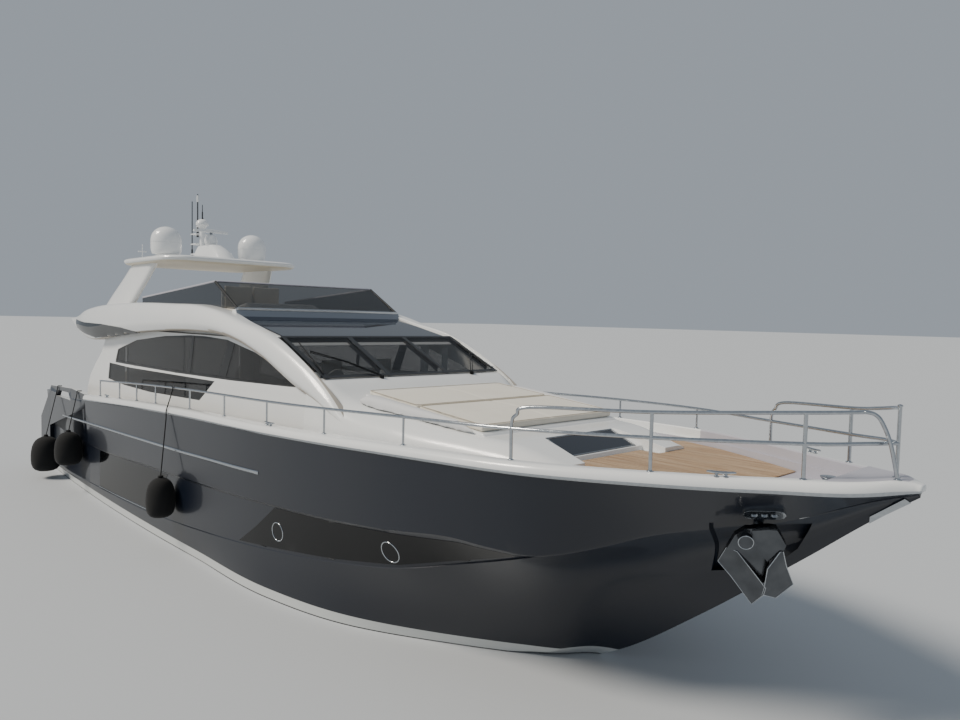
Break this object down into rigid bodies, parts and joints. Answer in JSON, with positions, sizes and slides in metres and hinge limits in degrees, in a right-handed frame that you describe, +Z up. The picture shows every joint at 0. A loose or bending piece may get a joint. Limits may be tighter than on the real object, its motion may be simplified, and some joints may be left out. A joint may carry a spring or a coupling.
{
  "type": "motor yacht",
  "caption": "Flybridge motor yacht with a dark flared hull, white superstructure, raked wraparound glazing, bow sun pads, arch with domes, teak decks and twin propellers.",
  "frame": {"origin": "amidships on the centreline at the waterline", "axes": "+X forward to the bow, +Y to port, +Z up"},
  "size_m": [26, 6.9056, 10.52],
  "materials": {
    "hull_paint": "gloss metallic anthracite",
    "gelcoat_white": "gloss",
    "gelcoat_grey": "satin",
    "teak": "bare planked teak",
    "pad_fabric": "woven outdoor fabric",
    "seat_leather": "smooth leather",
    "dark_glass": "tinted gloss",
    "stainless": "polished",
    "bronze": "cast and machined",
    "fender_rubber": "matt cover",
    "dash_dark": "matt"
  },
  "bodies": {
    "root": {"aft_glass": "dark_glass", "anchor": "stainless", "bolster_port": "pad_fabric", "bolster_starboard": "pad_fabric", "coachroof": "gelcoat_white", "cockpit_sofa": "seat_leather", "cockpit_table": "teak", "dashboard": "dash_dark", "deckhouse": "gelcoat_white", "fender_aft": "fender_rubber", "fender_quarter": "fender_rubber", "fender_side": "fender_rubber", "fly_console": "gelcoat_white", "fly_helm_bench": "seat_leather", "fly_sofa": "seat_leather", "fly_windscreen": "dark_glass", "flybridge": "gelcoat_white", "hardtop": "gelcoat_white", "hawse_port": "stainless", "hawse_starboard": "stainless", "helm_seats": "seat_leather", "hull": "hull_paint", "hull_window_aft_port": "dark_glass", "hull_window_aft_starboard": "dark_glass", "hull_window_bow_port": "dark_glass", "hull_window_bow_starboard": "dark_glass", "low_window_port": "dark_glass", "low_window_starboard": "dark_glass", "mast": "gelcoat_white", "rail_port": "stainless", "rail_starboard": "stainless", "roof_glass": "dark_glass", "rub_rail_port": "stainless", "rub_rail_starboard": "stainless", "saloon_sofa": "seat_leather", "satellite_dome_port": "gelcoat_white", "satellite_dome_starboard": "gelcoat_white", "shaft_port": "bronze", "shaft_starboard": "bronze", "sheer_cap": "gelcoat_white", "side_window_port": "dark_glass", "side_window_starboard": "dark_glass", "skylight": "dark_glass", "stem_plate": "stainless", "sunpad_front": "pad_fabric", "sunpad_rear": "pad_fabric", "swim_platform": "teak", "teak_foredeck": "teak", "teak_main_deck": "teak", "windlass": "stainless", "windscreen": "dark_glass"},
    "propeller_starboard_body": {"propeller_starboard": "bronze"},
    "propeller_port_body": {"propeller_port": "bronze"},
    "rudder_starboard_body": {"rudder_starboard": "bronze"},
    "rudder_port_body": {"rudder_port": "bronze"},
    "radar_scanner_body": {"radar_scanner": "gelcoat_white"},
    "aft_door_body": {"aft_door": "dark_glass"},
    "garage_door_body": {"garage_door": "hull_paint"},
    "bow_locker_lid_body": {"bow_locker_lid": "gelcoat_grey"}
  },
  "joints": [
    {"name": "propeller_starboard_spin", "type": "hinge", "parent": "root", "child": "propeller_starboard_body", "pos_m": [-11.19418, -1.35, -1.14672], "axis": [0.9894, 0, 0.1449], "continuous": true},
    {"name": "propeller_port_spin", "type": "hinge", "parent": "root", "child": "propeller_port_body", "pos_m": [-11.19418, 1.35, -1.14672], "axis": [0.9894, 0, 0.1449], "continuous": true},
    {"name": "rudder_starboard_turn", "type": "hinge", "parent": "root", "child": "rudder_starboard_body", "pos_m": [-11.76, -1.35, -1], "axis": [0, 0, 1], "range_deg": [-35, 35]},
    {"name": "rudder_port_turn", "type": "hinge", "parent": "root", "child": "rudder_port_body", "pos_m": [-11.76, 1.35, -1], "axis": [0, 0, 1], "range_deg": [-35, 35]},
    {"name": "scanner_spin", "type": "hinge", "parent": "root", "child": "radar_scanner_body", "pos_m": [-6, 0, 7.66], "axis": [0, 0, 1], "continuous": true},
    {"name": "aft_door_slide", "type": "slide", "parent": "root", "child": "aft_door_body", "axis": [0, 1, 0], "range_m": [0, 1.5]},
    {"name": "garage_door_lift", "type": "hinge", "parent": "root", "child": "garage_door_body", "pos_m": [-12.196, 0, 2.072], "axis": [0, 1, 0], "range_deg": [0, 80]},
    {"name": "bow_locker_lid_lift", "type": "hinge", "parent": "root", "child": "bow_locker_lid_body", "pos_m": [11.6, 0, 3.2104], "axis": [0, 1, 0], "range_deg": [0, 75]}
  ],
  "couplings": [
    {"joint": "rudder_port_turn", "follows": "rudder_starboard_turn", "ratio": 1}
  ]
}
